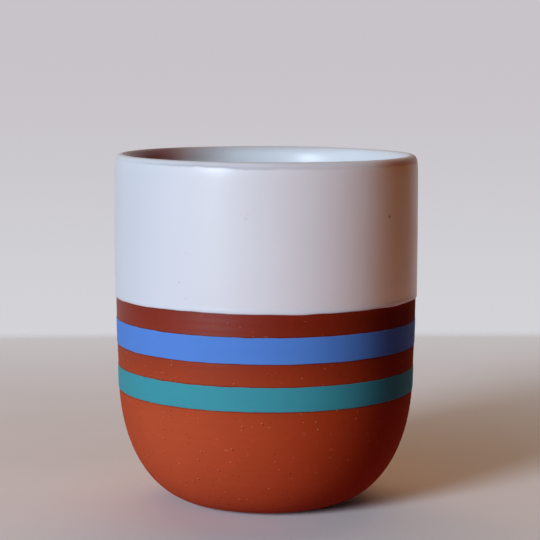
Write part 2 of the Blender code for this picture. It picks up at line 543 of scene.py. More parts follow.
class ShaderTree:
    """Node tree of a material or world, built from one method that makes any node."""

    def __init__(self, owner: bpy.types.Material | bpy.types.World) -> None:
        """Start an empty tree on a material or world."""
        owner.use_nodes = True
        self.tree = owner.node_tree
        self.tree.nodes.clear()

    def node(
        self, kind: str, settings: Settings | None = None, inputs: Inputs | None = None
    ) -> bpy.types.Node:
        """Make a node, set it up and feed its sockets.

        Args:
            kind: Blender's type name of the node.
            settings: the node's own properties, set first.
            inputs: what each socket gets, by identifier: a link, a number or a colour.

        Returns:
            The new node.
        """
        made = self.tree.nodes.new(kind)
        for key, setting in (settings or {}).items():
            setattr(made, key, setting)
        for key, feed in (inputs or {}).items():
            socket = next(item for item in made.inputs if item.identifier == key)
            if isinstance(feed, Value):
                self.tree.links.new(feed.socket, socket)
            elif isinstance(feed, bpy.types.NodeSocket):
                self.tree.links.new(feed, socket)
            elif socket.type == "RGBA":
                socket.default_value = (*feed, 1.0)
            else:
                socket.default_value = feed
        return made

    def value(self, kind: str, settings: Settings | None = None, inputs: Inputs | None = None) -> Value:
        """First output of a new node, as a number."""
        return Value(self, self.node(kind, settings, inputs).outputs[0])

    def vector(self, operation: str, inputs: Inputs, output: str = "Vector") -> bpy.types.NodeSocket:
        """Output of a new Vector Math node."""
        return self.node("ShaderNodeVectorMath", {"operation": operation}, inputs).outputs[output]

    def position(self) -> bpy.types.NodeSocket:
        """Place on the piece, in metres, from Object coordinates."""
        return self.node("ShaderNodeTexCoord").outputs["Object"]

    def parts(self, vector: bpy.types.NodeSocket) -> tuple[Value, ...]:
        """X, Y and Z of a vector."""
        split = self.node("ShaderNodeSeparateXYZ", inputs={"Vector": vector})
        return tuple(Value(self, part) for part in split.outputs)

    def place(self) -> tuple[Value, ...]:
        """Place on the piece, in metres: X to the right, Y to the back and Z above the foot."""
        return self.parts(self.position())

    def radius(self) -> Value:
        """Distance from the axis, in metres: the length of the place times (1, 1, 0)."""
        return Value(self, self.vector("LENGTH", {"Vector": self.moved((1.0, 1.0, 0.0))}, "Value"))

    def moved(self, scale: Triple, shift: Triple = (0.0, 0.0, 0.0)) -> bpy.types.NodeSocket:
        """Place on the piece times a scale plus a shift, for stretched or separate patterns."""
        inputs = {"Vector": self.position(), "Vector_001": scale, "Vector_002": shift}
        return self.vector("MULTIPLY_ADD", inputs)

    def seen(self) -> Value:
        """Tell what the camera sees from what only throws light.

        Returns:
            1 where a place is seen by the camera, in a reflection or through a clear piece, and 0 otherwise.
        """
        path = self.node("ShaderNodeLightPath").outputs
        rays = (Value(self, path[f"Is {ray} Ray"]) for ray in ("Camera", "Glossy", "Transmission"))
        return reduce(Value.at_least, rays)

    def mix(self, share: Feed, first: Feed, second: Feed) -> bpy.types.NodeSocket:
        """Colour that goes from the first to the second with a share."""
        inputs = {"Factor_Float": share, "A_Color": first, "B_Color": second}
        return self.node("ShaderNodeMix", {"data_type": "RGBA"}, inputs).outputs[2]

    def shaded(self, colour: Feed, strength: Value) -> bpy.types.NodeSocket:
        """Colour made lighter or darker: the colour times a number."""
        return self.vector("SCALE", {"Vector": colour, "Scale": strength})

    def bumped(self, relief: Value) -> bpy.types.NodeSocket:
        """Normal of a fine relief, from its height in metres."""
        inputs = {"Height": relief, "Distance": 1.0, "Strength": 1.0}
        return self.node("ShaderNodeBump", inputs=inputs).outputs["Normal"]

    def principled(
        self, colour: Feed, roughness: Feed, specular: float, others: Inputs | None = None
    ) -> bpy.types.NodeSocket:
        """Principled shader of a colour, a roughness, an even specular level and other sockets."""
        inputs = {"Base Color": colour, "Roughness": roughness, "Specular IOR Level": specular}
        return self.node("ShaderNodeBsdfPrincipled", inputs=inputs | (others or {})).outputs["BSDF"]

    def output(self, shader: bpy.types.NodeSocket, kind: str = "ShaderNodeOutputMaterial") -> None:
        """Finish the tree with an output."""
        self.node(kind, inputs={"Surface": shader})


def new_material(name: str) -> tuple[bpy.types.Material, ShaderTree]:
    """A new material and its empty tree."""
    material = bpy.data.materials.new(name)
    return material, ShaderTree(material)


@dataclass(frozen=True)
class Clouds:
    """Cloudy noise about 0, from -1 to 1, and how strongly a finish shows it.

    Attributes:
        scale: features per metre along each axis.
        detail: how many finer layers it has.
        tone: what it adds to the colour's lightness, which is 1 without it.
        rough: what it adds to the roughness.
        relief: what it adds to the height of the surface, in metres.
    """

    scale: Triple
    detail: float = 3.0
    tone: float = 0.0
    rough: float = 0.0
    relief: float = 0.0

    def on(self, tree: ShaderTree) -> Value:
        """The noise on a piece."""
        inputs = {"Vector": tree.moved(self.scale), "Scale": 1.0, "Detail": self.detail}
        return 2.0 * tree.value("ShaderNodeTexNoise", {"noise_dimensions": "3D"}, inputs) - 1.0


@dataclass(frozen=True)
class Spots:
    """Scattered soft spots and how strongly a finish shows them.

    Attributes:
        scale: cells per metre along each axis.
        reach: largest radius of a spot, in cells.
        share: share of the cells that hold a spot.
        shift: moves the pattern, in cells.
        cover: how much the spots' own colour covers the colour under them.
        rough: what they add to the roughness.
        relief: what they add to the height of the surface, in metres.
        SMALLEST: radius of the smallest spot, as a share of the largest.
        FAINTEST: strength of the faintest spot.
        CORE: share of a spot's radius within which it is full.
    """

    scale: Triple
    reach: float
    share: float
    shift: Triple = (0.0, 0.0, 0.0)
    cover: float = 1.0
    rough: float = 0.0
    relief: float = 0.0

    SMALLEST = 0.45
    FAINTEST = 0.30
    CORE = 0.35

    def on(self, tree: ShaderTree) -> Value:
        """The spots on a piece.

        Each cell of a Voronoi pattern may hold one spot, sized and weighed by the cell's random colour.

        Args:
            tree: tree of the piece's material.

        Returns:
            Up to 1 in the middle of a spot and 0 between spots.
        """
        settings = {"voronoi_dimensions": "3D", "feature": "F1"}
        inputs = {"Vector": tree.moved(self.scale, self.shift), "Scale": 1.0}
        cells = tree.node("ShaderNodeTexVoronoi", settings, inputs).outputs
        parts = tree.node("ShaderNodeSeparateColor", inputs={"Color": cells["Color"]})
        chance, size, strength = (Value(tree, part) for part in parts.outputs)
        radius = self.reach * (self.SMALLEST + (1.0 - self.SMALLEST) * size)
        inside = 1.0 - Value(tree, cells["Distance"]).ease(self.CORE * radius, radius)
        return inside * (chance < self.share) * (self.FAINTEST + (1.0 - self.FAINTEST) * strength)


@dataclass(frozen=True)
class Speck:
    """One iron speck on the glaze of the outer wall.

    Attributes:
        azimuth: degrees round from the camera's side, positive to the right.
        height: height above the foot.
        reach: its radius.
        strength: how strongly it shows.
        CORE: share of its radius within which it is full.
    """

    azimuth: float
    height: float
    reach: float
    strength: float

    CORE = 0.3

    def on(self, tree: ShaderTree, wall_radius: float) -> Value:
        """The speck on the wall: its centre is the radius times sine and minus cosine of the azimuth.

        Args:
            tree: tree of the glaze's material.
            wall_radius: radius of the glazed wall.

        Returns:
            Its strength round its centre, falling to 0 at its radius.
        """
        turn = math.radians(self.azimuth)
        centre = (wall_radius * math.sin(turn), -wall_radius * math.cos(turn), self.height)
        inputs = {"Vector": tree.position(), "Vector_001": centre}
        away = Value(tree, tree.vector("DISTANCE", inputs, "Value"))
        return self.strength * (1.0 - away.ease(self.CORE * self.reach, self.reach))


@dataclass(frozen=True)
class LipStretch:
    """A stretch along the lip where the glaze takes another colour: thin glaze, a browner tint, and at the
    inner side's left also painted shade.

    Attributes:
        colour: what shows there.
        across: X places where the stretch starts and where it is full.
        depth: depths below the crest where it starts to end and where it has ended.
    """

    colour: Colour
    across: Span
    depth: Span

    def share(self, across: Value, below: Value) -> Value:
        """1 in the middle of the stretch and 0 outside it, from the X place and the depth below the crest."""
        return (1.0 - below.ease(*self.depth)) * across.ease(*self.across)


@dataclass(frozen=True)
class ClayFinish:
    """Bare red clay with fine pale grog, small pits and turning streaks.

    Towards the glaze it is deeper in colour, and smoothed more and more, which dies out to the right.
    Its rounded bottom goes deeper red towards the right as painted shade, on the side away from the window.

    Attributes:
        edges: heights of the glaze line and of the bands' edges, next to which the clay is darker, partly as
            painted shadow.
        burnished_from: height from which the clay was smoothed, up to the glaze line.
        burnish_ends: X places between which the smoothing dies out.
        colour: the clay of the rounded bottom, at the left and at the right, where it is deeper red as
            painted shade.
        upper_colour: the deeper red below the glaze.
        grog_colour: pale grains.
        pit_and_shadow_colour: small holes, and the painted shadows beside the pale grains.
        painted_shade_across: X places between which the rounded bottom goes from the one colour to the other,
            as painted shade.
        deepens: heights between which the clay goes to the deeper red.
        edge_width: how far from an edge the clay is darker.
        edge_shade: how much darker it is at the edge: painted shadow under and along the edges, together with
            darker clay there.
        pressed: how much less the grog shows where the clay is deepest in colour.
        roughness: roughness of the clay.
        specular: specular level of the clay.
        sheen: weight of the coat that shows the smoothing where it is full.
        satin: roughness of that coat.
        mottle: slow changes of tone.
        grain: the clay's own grain.
        streak: streaks along the turning.
        grog: pale grains.
        dashes: pale grains that were dragged along the turning.
        grain_shadows: a painted shadow beside each pale grain, to one side of it, dented a little like the
            pits.
        pits: other small holes, and how holes and the painted grain shadows show.
    """

    edges: tuple[float, ...]
    burnished_from: float
    burnish_ends: Span = (-20 * MM, 24 * MM)
    colour: tuple[Colour, Colour] = ((0.520, 0.083, 0.029), (0.465, 0.041, 0.008))
    upper_colour: Colour = (0.228, 0.017, 0.0040)
    grog_colour: Colour = (0.90, 0.27, 0.14)
    pit_and_shadow_colour: Colour = (0.11, 0.018, 0.010)
    painted_shade_across: Span = (-38 * MM, 34 * MM)
    deepens: Span = (0.025, 0.057)
    edge_width: float = 0.45 * MM
    edge_shade: float = 0.45
    pressed: float = 0.60
    roughness: float = 0.80
    specular: float = 0.05
    sheen: float = 0.70
    satin: float = 0.44
    mottle: Clouds = Clouds((70.0, 70.0, 70.0), tone=0.07, rough=0.05)
    grain: Clouds = Clouds((2400.0, 2400.0, 2400.0), tone=0.06, relief=0.004 * MM)
    streak: Clouds = Clouds((40.0, 40.0, 1700.0), tone=0.05, relief=0.003 * MM)
    grog: Spots = Spots((560.0, 560.0, 560.0), reach=0.19, share=0.70, cover=0.75, relief=0.050 * MM)
    dashes: Spots = Spots((300.0, 300.0, 2100.0), reach=0.30, share=0.04, shift=(7.0, 3.0, 5.0), cover=0.45)
    grain_shadows: Spots = Spots((560.0, 560.0, 560.0), reach=0.20, share=0.70, shift=(-0.22, 0.06, 0.18))
    pits: Spots = Spots(
        (480.0, 480.0, 480.0), reach=0.18, share=0.60, shift=(3.0, 9.0, 1.0),
        cover=0.75, rough=0.10, relief=-0.060 * MM,
    )

    def material(self) -> bpy.types.Material:
        """Node material of the finish.

        Returns:
            The material.
        """
        material, tree = new_material("bare_clay")
        across, _, height = tree.place()
        mottle, grain, streak = self.mottle.on(tree), self.grain.on(tree), self.streak.on(tree)
        deep = height.ease(*self.deepens)
        grog = self.grog.on(tree) * (1.0 - self.pressed * deep)
        dashes = self.dashes.on(tree)
        # pits holds the small holes and the painted shadows beside the pale grains
        pits = self.pits.on(tree).at_least(self.grain_shadows.on(tree))
        by_edges = (1.0 - abs(height - edge).ease(0.0, self.edge_width) for edge in self.edges)

        tone = 1.0 + self.mottle.tone * mottle + self.grain.tone * grain + self.streak.tone * streak
        # darker along the glaze's and the bands' edges: partly painted shadow, partly darker clay
        tone = tone - self.edge_shade * reduce(Value.at_least, by_edges)
        # painted shade: the rounded bottom goes deeper red towards the right, away from the window
        colour = tree.mix(across.ease(*self.painted_shade_across), *self.colour)
        colour = tree.shaded(tree.mix(deep, colour, self.upper_colour), tone)
        # pit colour over the holes and over the painted grain shadows
        colour = tree.mix(self.pits.cover * pits, colour, self.pit_and_shadow_colour)
        grains = (self.grog.cover * grog).at_least(self.dashes.cover * dashes)
        colour = tree.mix(grains, colour, self.grog_colour)

        burnished = height.ease(self.burnished_from, self.edges[0]) * (1.0 - across.ease(*self.burnish_ends))
        roughness = self.roughness + self.mottle.rough * mottle + self.pits.rough * pits
        relief = self.grain.relief * grain + self.streak.relief * streak
        relief = relief + self.grog.relief * grog + self.pits.relief * pits
        others = {
            "Normal": tree.bumped(relief),
            "Coat Weight": self.sheen * burnished,
            "Coat Roughness": self.satin,
        }
        tree.output(tree.principled(colour, roughness, self.specular, others))
        return material


@dataclass(frozen=True)
class GlazeFinish:
    """Satin white glaze with a few iron specks, thin at the lip, where the clay shows through a little.

    A thin strip runs along the front of the lip's outer side and turns brown at its right end, and the glaze
    round and below that end is browner. On the inner side the glaze is thin a little at the back, and at the
    left it is thin and darker, partly as painted shade of the rim's shadow. A painted shadow line runs along
    the front of the crest. Depths are measured down from the crest. A pair of X places is where something
    starts and where it is full.

    Attributes:
        crest_radius: radius of the lip's crest, which parts the inner side from the outer.
        crest_height: height of the clay at the crest.
        wall_radius: radius of the glazed wall where it is widest.
        crest_blur: half the width over which the inner side goes over into the outer.
        colour: glaze at full thickness.
        outer_colour: thin strip on the outer side, next to the crest.
        outer_edge_colour: the same at its lower edge, at the left and from the middle on.
        outer_depths: how deep the strip reaches, at the left and from the middle on.
        outer_blur: half the depth over which its lower edge ends.
        outer_edge_share: share of its depth at which it has the colour of its lower edge.
        outer_start: X places at the strip's left end.
        outer_step: X places between which it gets deeper.
        outer_turn: X places between which its lower edge changes colour.
        outer_end: X places between which it thickens again.
        outer_loss: how much of the strip is gone after that.
        outer_rough: what the strip adds to the roughness.
        right_colour: the strip at its brown right end.
        right_browning: glaze round and below that end, made browner.
        inner_fade_and_shade: the inner side where it starts to thin towards the left, greyer there as painted
            shade where the inside turns away from the window.
        inner_thin_and_shade: the inner side at the left, where it is thinnest, and darker and browner as
            painted shade of the rim's shadow.
        inner_crest_colour: the same next to the crest, thin glaze and painted shade.
        inner_turn: depth at which it has its own colour.
        back_thin: the inner side at the back.
        back_from: Y places between which the front goes over into the back.
        crest_shadow_colour: painted shadow in a line along the front of the crest.
        crest_shadow_line: distances from the crest's radius where that line is still full and where it has
            ended.
        crest_shadow_depth: depths where it has ended and where it is still full.
        crest_shadow_start: X places at its left end.
        crest_shadow_share: how strongly it shows.
        speck_colour: iron specks.
        specks: scattered specks at the back, and how all specks show.
        front_specks: the specks on the front.
        cloud: slow changes of tone.
        peel: fine ripple of the face.
        scallop: waves in the lower edges of the thin stretches.
        scallop_size: depth of those waves.
        ripple_size: depth by which the ripple shifts those edges.
        roughness: roughness of the glaze.
        specular: specular level of the glaze.
    """

    crest_radius: float
    crest_height: float
    wall_radius: float
    crest_blur: float = 0.05 * MM
    colour: Colour = (0.740, 0.745, 0.765)
    outer_colour: Colour = (0.680, 0.665, 0.690)
    outer_edge_colour: tuple[Colour, Colour] = ((0.492, 0.480, 0.505), (0.630, 0.615, 0.645))
    outer_depths: Span = (1.10 * MM, 1.52 * MM)
    outer_blur: float = 0.25 * MM
    outer_edge_share: float = 0.9
    outer_start: Span = (-44 * MM, -16 * MM)
    outer_step: Span = (-13.5 * MM, -5 * MM)
    outer_turn: Span = (-16 * MM, 14 * MM)
    outer_end: Span = (8 * MM, 26 * MM)
    outer_loss: float = 0.75
    outer_rough: float = 0.26
    right_colour: Colour = (0.585, 0.390, 0.345)
    right_browning: LipStretch = LipStretch((0.740, 0.630, 0.545), (26 * MM, 34 * MM), (1.2 * MM, 6.0 * MM))
    inner_fade_and_shade: LipStretch = LipStretch((0.545, 0.470, 0.465), (-7 * MM, -22 * MM), (2.1 * MM, 4.9 * MM))
    inner_thin_and_shade: LipStretch = LipStretch((0.640, 0.225, 0.200), (-19 * MM, -30.5 * MM), (2.1 * MM, 4.9 * MM))
    inner_crest_colour: Colour = (0.335, 0.112, 0.100)
    inner_turn: float = 2.45 * MM
    back_thin: LipStretch = LipStretch((0.705, 0.680, 0.695), (26 * MM, 10 * MM), (0.6 * MM, 1.6 * MM))
    back_from: Span = (-3 * MM, 3 * MM)
    crest_shadow_colour: Colour = (0.360, 0.320, 0.330)
    crest_shadow_line: Span = (0.20 * MM, 0.50 * MM)
    crest_shadow_depth: Span = (1.0 * MM, 0.5 * MM)
    crest_shadow_start: Span = (-20 * MM, -5 * MM)
    crest_shadow_share: float = 0.36
    speck_colour: Colour = (0.130, 0.085, 0.070)
    specks: Spots = Spots(
        (230.0, 230.0, 230.0), reach=0.07, share=0.50, cover=0.85, rough=0.15, relief=-0.010 * MM
    )
    front_specks: tuple[Speck, ...] = (
        Speck(50.87, 80.28 * MM, 0.56 * MM, 0.86),
        Speck(-32.51, 63.93 * MM, 0.36 * MM, 0.23),
        Speck(-7.11, 80.92 * MM, 0.40 * MM, 0.14),
        Speck(-6.41, 82.18 * MM, 0.44 * MM, 0.09),
        Speck(-29.66, 59.88 * MM, 0.40 * MM, 0.13),
        Speck(-29.75, 71.55 * MM, 0.40 * MM, 0.09),
    )
    cloud: Clouds = Clouds((45.0, 45.0, 60.0), tone=0.025, rough=0.03)
    peel: Clouds = Clouds((420.0, 420.0, 420.0), detail=2.0, relief=0.004 * MM)
    scallop: Clouds = Clouds((230.0, 230.0, 40.0), detail=2.0)
    scallop_size: float = 0.35 * MM
    ripple_size: float = 0.10 * MM
    roughness: float = 0.34
    specular: float = 0.30

    def material(self) -> bpy.types.Material:
        """Node material of the finish: the full glaze, and over it the layers of the lip and the specks.

        Returns:
            The material.
        """
        material, tree = new_material("satin_glaze")
        across, along, height = tree.place()
        radius = tree.radius()
        cloud, peel, scallop = self.cloud.on(tree), self.peel.on(tree), self.scallop.on(tree)
        below = self.crest_height - height + (self.scallop_size * scallop + self.ripple_size * peel)
        outer = radius.ease(self.crest_radius - self.crest_blur, self.crest_radius + self.crest_blur)
        inner = 1.0 - outer
        back = along.ease(*self.back_from)

        short, long = self.outer_depths
        depth = short + (long - short) * across.ease(*self.outer_step)
        strip = outer * (1.0 - below.ease(depth - self.outer_blur, depth + self.outer_blur))
        right_strip = strip * across.ease(*self.right_browning.across)
        strip = strip * across.ease(*self.outer_start)
        strip = strip * (1.0 - self.outer_loss * across.ease(*self.outer_end))
        edge_colour = tree.mix(across.ease(*self.outer_turn), *self.outer_edge_colour)
        deep_outside = below.ease(0.0, self.outer_edge_share * depth)
        strip_colour = tree.mix(deep_outside, self.outer_colour, edge_colour)
        deep_inside = below.ease(0.0, self.inner_turn)
        inner_colour = tree.mix(deep_inside, self.inner_crest_colour, self.inner_thin_and_shade.colour)
        # painted shadow line along the front of the crest
        crest = self.crest_shadow_share * (1.0 - abs(radius - self.crest_radius).ease(*self.crest_shadow_line))
        crest = crest * height.ease(*(self.crest_height - edge for edge in self.crest_shadow_depth))
        crest = crest * (1.0 - back) * across.ease(*self.crest_shadow_start)
        front_specks = (speck.on(tree, self.wall_radius) for speck in self.front_specks)
        specks = reduce(Value.at_least, front_specks, self.specks.cover * back * self.specks.on(tree))

        layers = (
            (strip, strip_colour),
            # browner glaze round and below the strip's right end
            (outer * self.right_browning.share(across, below), self.right_browning.colour),
            (right_strip, self.right_colour),
            (inner * back * self.back_thin.share(across, below), self.back_thin.colour),
            # painted shade on the inside at the left: greyer where it turns from the window, darker and
            # browner further left, together with the thin glaze there
            (inner * self.inner_fade_and_shade.share(across, below), self.inner_fade_and_shade.colour),
            (inner * self.inner_thin_and_shade.share(across, below), inner_colour),
            (crest, self.crest_shadow_colour),
            (specks, self.speck_colour),
        )
        colour = tree.shaded(self.colour, 1.0 + self.cloud.tone * cloud)
        for share, layer in layers:
            colour = tree.mix(share, colour, layer)
        roughness = self.roughness + self.cloud.rough * cloud
        roughness = roughness + self.outer_rough * strip + self.specks.rough * specks
        relief = self.peel.relief * peel + self.specks.relief * specks
        tree.output(tree.principled(colour, roughness, self.specular, {"Normal": tree.bumped(relief)}))
        return material


@dataclass(frozen=True)
class SlipFinish:
    """Painted slip, matte, with faint brush streaks and a few grains of the clay under it.

    Attributes:
        name: name of the material.
        colour: the slip.
        grain_colour: grains that stand through it.
        mottle: slow changes of tone.
        brush: streaks along the brush's way.
        grain: the slip's own grain.
        grains: grains that stand through it.
        roughness: roughness of the slip.
        specular: specular level of the slip.
    """

    name: str
    colour: Colour
    grain_colour: Colour
    mottle: Clouds = Clouds((90.0, 90.0, 90.0), tone=0.035, rough=0.05)
    brush: Clouds = Clouds((35.0, 35.0, 1300.0), tone=0.04, rough=0.05, relief=0.002 * MM)
    grain: Clouds = Clouds((2000.0, 2000.0, 2000.0), detail=2.0, tone=0.025, relief=0.003 * MM)
    grains: Spots = Spots(
        (400.0, 400.0, 400.0), reach=0.07, share=0.25, shift=(1.0, 6.0, 4.0), cover=0.5, relief=0.015 * MM
    )
    roughness: float = 0.58
    specular: float = 0.05

    def material(self) -> bpy.types.Material:
        """Node material of the finish.

        Returns:
            The material.
        """
        material, tree = new_material(self.name)
        mottle, brush, grain = self.mottle.on(tree), self.brush.on(tree), self.grain.on(tree)
        grains = self.grains.on(tree)
        tone = 1.0 + self.mottle.tone * mottle + self.brush.tone * brush + self.grain.tone * grain
        colour = tree.mix(self.grains.cover * grains, tree.shaded(self.colour, tone), self.grain_colour)
        roughness = self.roughness + self.mottle.rough * mottle + self.brush.rough * brush
        relief = self.grain.relief * grain + self.brush.relief * brush + self.grains.relief * grains
        tree.output(tree.principled(colour, roughness, self.specular, {"Normal": tree.bumped(relief)}))
        return material


@dataclass
class ClayBody:
    """The turned clay: floor, wall, lip, rounded bottom and trimmed foot, in one closed piece.

    Attributes:
        form: the mug's outline.
        finish: bare clay.
        ridge_pitch: height between the ridges that the turning tool left.
        ridge_size: height of the ridges.
        foot_fade: height over which the ridges die out at the foot.
        inside_steps: stations on each stretch of the inside, under the glaze.
        lip_steps: stations on each side of the lip.
        glazed_steps: stations on the outside under the glaze.
        bare_steps: stations from the glaze line down to the foot.
        bare_crowding: how closely those stations crowd towards the foot, more for a larger power.
        foot_steps: stations on each stretch of the underside.
        map_margin: stations above the glaze line that keep their room in the map.
    """

    form: MugForm
    finish: ClayFinish
    ridge_pitch: float = 0.0019
    ridge_size: float = 0.006 * MM
    foot_fade: float = 0.004
    inside_steps: int = 12
    lip_steps: int = 14
    glazed_steps: int = 12
    bare_steps: int = 210
    bare_crowding: float = 1.5
    foot_steps: int = 6
    map_margin: int = 2

    def underside(self) -> Array:
        """Stations under the foot, from its edge to the axis: a flat ring, an eased slope and a flat hollow.

        Returns:
            Radius and height of each station, as rows.
        """
        form = self.form
        slope_end = form.hollow_radius - form.hollow_slope
        share = np.linspace(0, 1, self.foot_steps + 1)[1:]
        ring = form.foot_radius + (form.hollow_radius - form.foot_radius) * share
        slope = form.hollow_radius + (slope_end - form.hollow_radius) * share
        hollow = slope_end * (1 - share)
        return np.vstack([
            np.column_stack([ring, np.zeros_like(ring)]),
            np.column_stack([slope, form.hollow_depth * smooth_step(share, 0, 1)]),
            np.column_stack([hollow, np.full_like(hollow, form.hollow_depth)]),
        ])

    def stations(self) -> tuple[Array, Array]:
        """Stations up the inside, over the lip, down the outside and under the foot.

        Heights on the bare wall go with a power of a cosine, so that stations crowd towards the foot.

        Returns:
            Radius and height of the stations under the glaze, as rows, and of the bare ones after them.
        """
        form = self.form
        wall = np.linspace(form.lip_outer_base, form.glaze_line, self.glazed_steps + 1)[1:]
        turn = np.linspace(0, math.pi / 2, self.bare_steps + 1)[1:]
        bare = form.glaze_line * np.cos(turn) ** self.bare_crowding
        glazed = np.vstack([form.inside(self.inside_steps), form.lip(self.lip_steps), form.outside(wall)])
        return glazed, np.vstack([form.outside(bare), self.underside()])

    def build(self) -> bpy.types.Object:
        """The clay body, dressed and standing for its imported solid.

        The bare wall carries a spiral ridge, a sine of height over pitch plus one turn of the angle, and all
        of it is out of round.

        Returns:
            The piece.
        """
        glazed, bare = self.stations()
        outline = self.form.all_round(np.vstack([glazed, bare]))
        height = outline[..., 1]
        ridge = np.sin(2 * math.pi * height / self.ridge_pitch + self.form.angle) * self.ridge_size
        ridge *= smooth_step(height, 0, self.foot_fade)
        ridge[: len(glazed)] = 0
        outline = self.form.uneven(lifted(outline, ridge))
        hidden = np.arange(len(outline)) < len(glazed) - self.map_margin
        surface = TurnedSurface("turned_clay", outline, Closing.ON_AXIS, hidden, strips=2)
        return surface.piece(self.finish.material(), Slot.CLAY, Node.CLAY)


@dataclass
class GlazeCoat:
    """The white glaze: one fused skin over the inside, the lip and the upper outside.

    Attributes:
        form: the mug's outline.
        finish: satin glaze.
        back_gap: how far the skin's back stands off the clay.
        edge_drop: how far the glaze ran below its line.
        edge_round: length over which the lower edge rounds down to the clay.
        bead_size: how much the glaze gathers above its lower edge.
        bead_height: height of that bead above the edge.
        edge_zone: length of wall above the edge that has close stations.
        flow: unevenness of the glaze's thickness.
        edge_waver: unevenness of its lower edge.
        inside_steps: stations on each stretch of the inside.
        lip_steps: stations on each side of the lip.
        wall_steps: stations on the outside down to the edge zone.
        edge_steps: stations in the edge zone.
        back_steps: stations of the face for each one of the back.
        back_start: the back's first station, counted from the edge.
    """

    form: MugForm
    finish: GlazeFinish
    back_gap: float = 0.04 * MM
    edge_drop: float = 0.10 * MM
    edge_round: float = 0.45 * MM
    bead_size: float = 0.045 * MM
    bead_height: float = 0.8 * MM
    edge_zone: float = 3.0 * MM
    flow: Waver = Waver(seed=11, size=0.016 * MM, slowest=2, fastest=16, rise=70.0)
    edge_waver: Waver = Waver(seed=23, size=0.07 * MM, slowest=2, fastest=40, fade=0.6)
    inside_steps: int = 40
    lip_steps: int = 20
    wall_steps: int = 56
    edge_steps: int = 24
    back_steps: int = 4
    back_start: int = 3

    def stations(self) -> tuple[Array, Array]:
        """Stations on the clay under the glaze, and how far each is above the glaze's lower edge.

        Heights in the edge zone go with one less a sine, so that stations crowd towards the edge.

        Returns:
            The outline, from the middle of the floor over the lip down to the edge, as (station, segment,
            radius and height), and the heights above the edge as (station, segment).
        """
        form = self.form
        edge = form.glaze_line - self.edge_drop + self.edge_waver.at(form.angle)
        upper = form.all_round(np.vstack([form.inside(self.inside_steps), form.lip(self.lip_steps)]))
        share = np.linspace(0, 1, self.wall_steps + 1)[1:, None]
        wall = form.lip_outer_base + (edge + self.edge_zone - form.lip_outer_base) * share
        turn = np.linspace(0, math.pi / 2, self.edge_steps + 1)[1:, None]
        low = edge + self.edge_zone * (1 - np.sin(turn))
        outline = np.concatenate([upper, form.outside(wall), form.outside(low)])
        above = outline[..., 1] - edge
        above[: len(upper)] = form.crest_height - form.glaze_line
        return outline, above

    def thickness(self, stations: Array, above: Array) -> Array:
        """How far the face stands off the clay.

        It is the coat's build plus its flow and the bead, which is a bell curve of the height above the
        edge. Over the last stretch all of it falls to 0 as a quarter circle.

        Args:
            stations: outline of the clay under the glaze.
            above: height of each station above the glaze's lower edge.

        Returns:
            Distances, as (station, segment).
        """
        form = self.form
        radius, height = stations[..., 0], stations[..., 1]
        flow = self.flow.at(form.angle, height)
        flow *= smooth_step(radius, form.floor_radius / 2, form.floor_radius)
        flow *= 1 - smooth_step(height, form.lip_outer_base, form.crest_height)
        bead = self.bead_size * np.exp(-(((above - self.bead_height) / (self.bead_height / 2)) ** 2))
        return (form.coat_build + flow + bead) * rounded_edge(above, self.edge_round)

    def build(self) -> bpy.types.Object:
        """The glaze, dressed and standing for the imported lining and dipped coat.

        The skin's outline runs along its face from the axis to the edge, then along its back to the axis.

        Returns:
            The piece.
        """
        stations, above = self.stations()
        face = lifted(stations, self.thickness(stations, above))
        back = lifted(stations, np.minimum(self.back_gap, above))
        outline = np.concatenate([face, back[-self.back_start :: -self.back_steps], back[:1]])
        hidden = np.arange(len(outline)) >= len(face)
        surface = TurnedSurface("glaze_coat", self.form.uneven(outline), Closing.ON_AXIS, hidden)
        return surface.piece(self.finish.material(), Slot.GLAZE, Node.LINER, Node.DIPPED)


@dataclass
class SlipBand:
    """A painted band: a thin closed ring on the bare wall, with soft edges that waver a little.

    Attributes:
        form: the mug's outline.
        name: name of the piece.
        span: lower and upper edge.
        finish: the slip.
        slot: record slot of the slip.
        node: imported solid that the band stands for.
        seed: picks the edges' waver.
        thickness: how far the band stands off the clay.
        back_gap: how far its back stands off the clay.
        edge_round: length over which each edge rounds down to the clay.
        edge_waver: size of the edges' waver.
        steps: stations on its face.
        back_steps: stations of the face for each one of the back.
    """

    form: MugForm
    name: str
    span: Span
    finish: SlipFinish
    slot: Slot
    node: Node
    seed: int
    thickness: float = 0.10 * MM
    back_gap: float = 0.02 * MM
    edge_round: float = 0.22 * MM
    edge_waver: float = 0.035 * MM
    steps: int = 48
    back_steps: int = 6

    def build(self) -> bpy.types.Object:
        """The band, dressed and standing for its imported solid.

        The ring's outline runs down its face from the top edge, then up its back. Stations crowd towards both
        edges as half a cosine. The face stands off the clay by its thickness, which falls to 0 at each edge
        as a quarter circle.

        Returns:
            The piece.
        """
        form = self.form
        low, high = (
            edge + Waver(self.seed + place, self.edge_waver, slowest=2, fastest=60, fade=0.4).at(form.angle)
            for place, edge in enumerate(self.span)
        )
        share = (1 - np.cos(np.linspace(0, math.pi, self.steps + 1)))[:, None] / 2
        height = high + (low - high) * share
        stations = form.outside(height)
        inwards = np.minimum(high - height, height - low)
        face = lifted(stations, self.thickness * rounded_edge(inwards, self.edge_round))
        back = lifted(stations, np.minimum(self.back_gap, inwards))
        outline = np.concatenate([face, back[-2 : 0 : -self.back_steps]])
        hidden = np.arange(len(outline)) >= len(face)
        surface = TurnedSurface(self.name, form.uneven(outline), Closing.IN_A_RING, hidden, strips=6)
        return surface.piece(self.finish.material(), self.slot, self.node)


